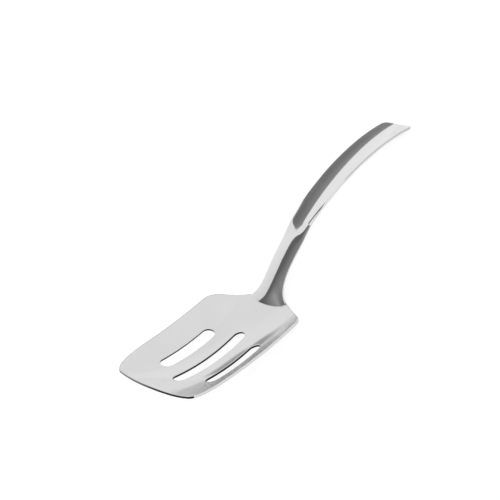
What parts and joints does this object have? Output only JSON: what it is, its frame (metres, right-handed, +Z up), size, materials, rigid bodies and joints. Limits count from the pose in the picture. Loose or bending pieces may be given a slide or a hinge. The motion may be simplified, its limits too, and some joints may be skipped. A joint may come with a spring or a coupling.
{
  "type": "slotted turner",
  "caption": "Polished stainless steel serving turner with a dished, squared, slotted blade and a pressed sheet handle that rises from its neck and arches into a wider, straight-cut grip.",
  "frame": {"origin": "middle of the bounding box in X and Y, on the table under the blade's belly", "axes": "+X along the tool from the blade's front edge to the handle's end, +Y to the left side seen from above with the blade behind, +Z up from the table"},
  "size_m": [0.2472, 0.0782, 0.0361],
  "materials": {
    "polished_sheet": "mirror polished stainless steel sheet",
    "polished_handle": "mirror polished stainless steel sheet",
    "ground_weld": "weld ground flush and buffed"
  },
  "bodies": {
    "root": {"slotted_blade": "polished_sheet", "handle": "polished_handle", "neck_weld_left": "ground_weld", "neck_weld_right": "ground_weld", "plug_weld_lower": "ground_weld", "plug_weld_upper": "ground_weld"}
  },
  "joints": []
}
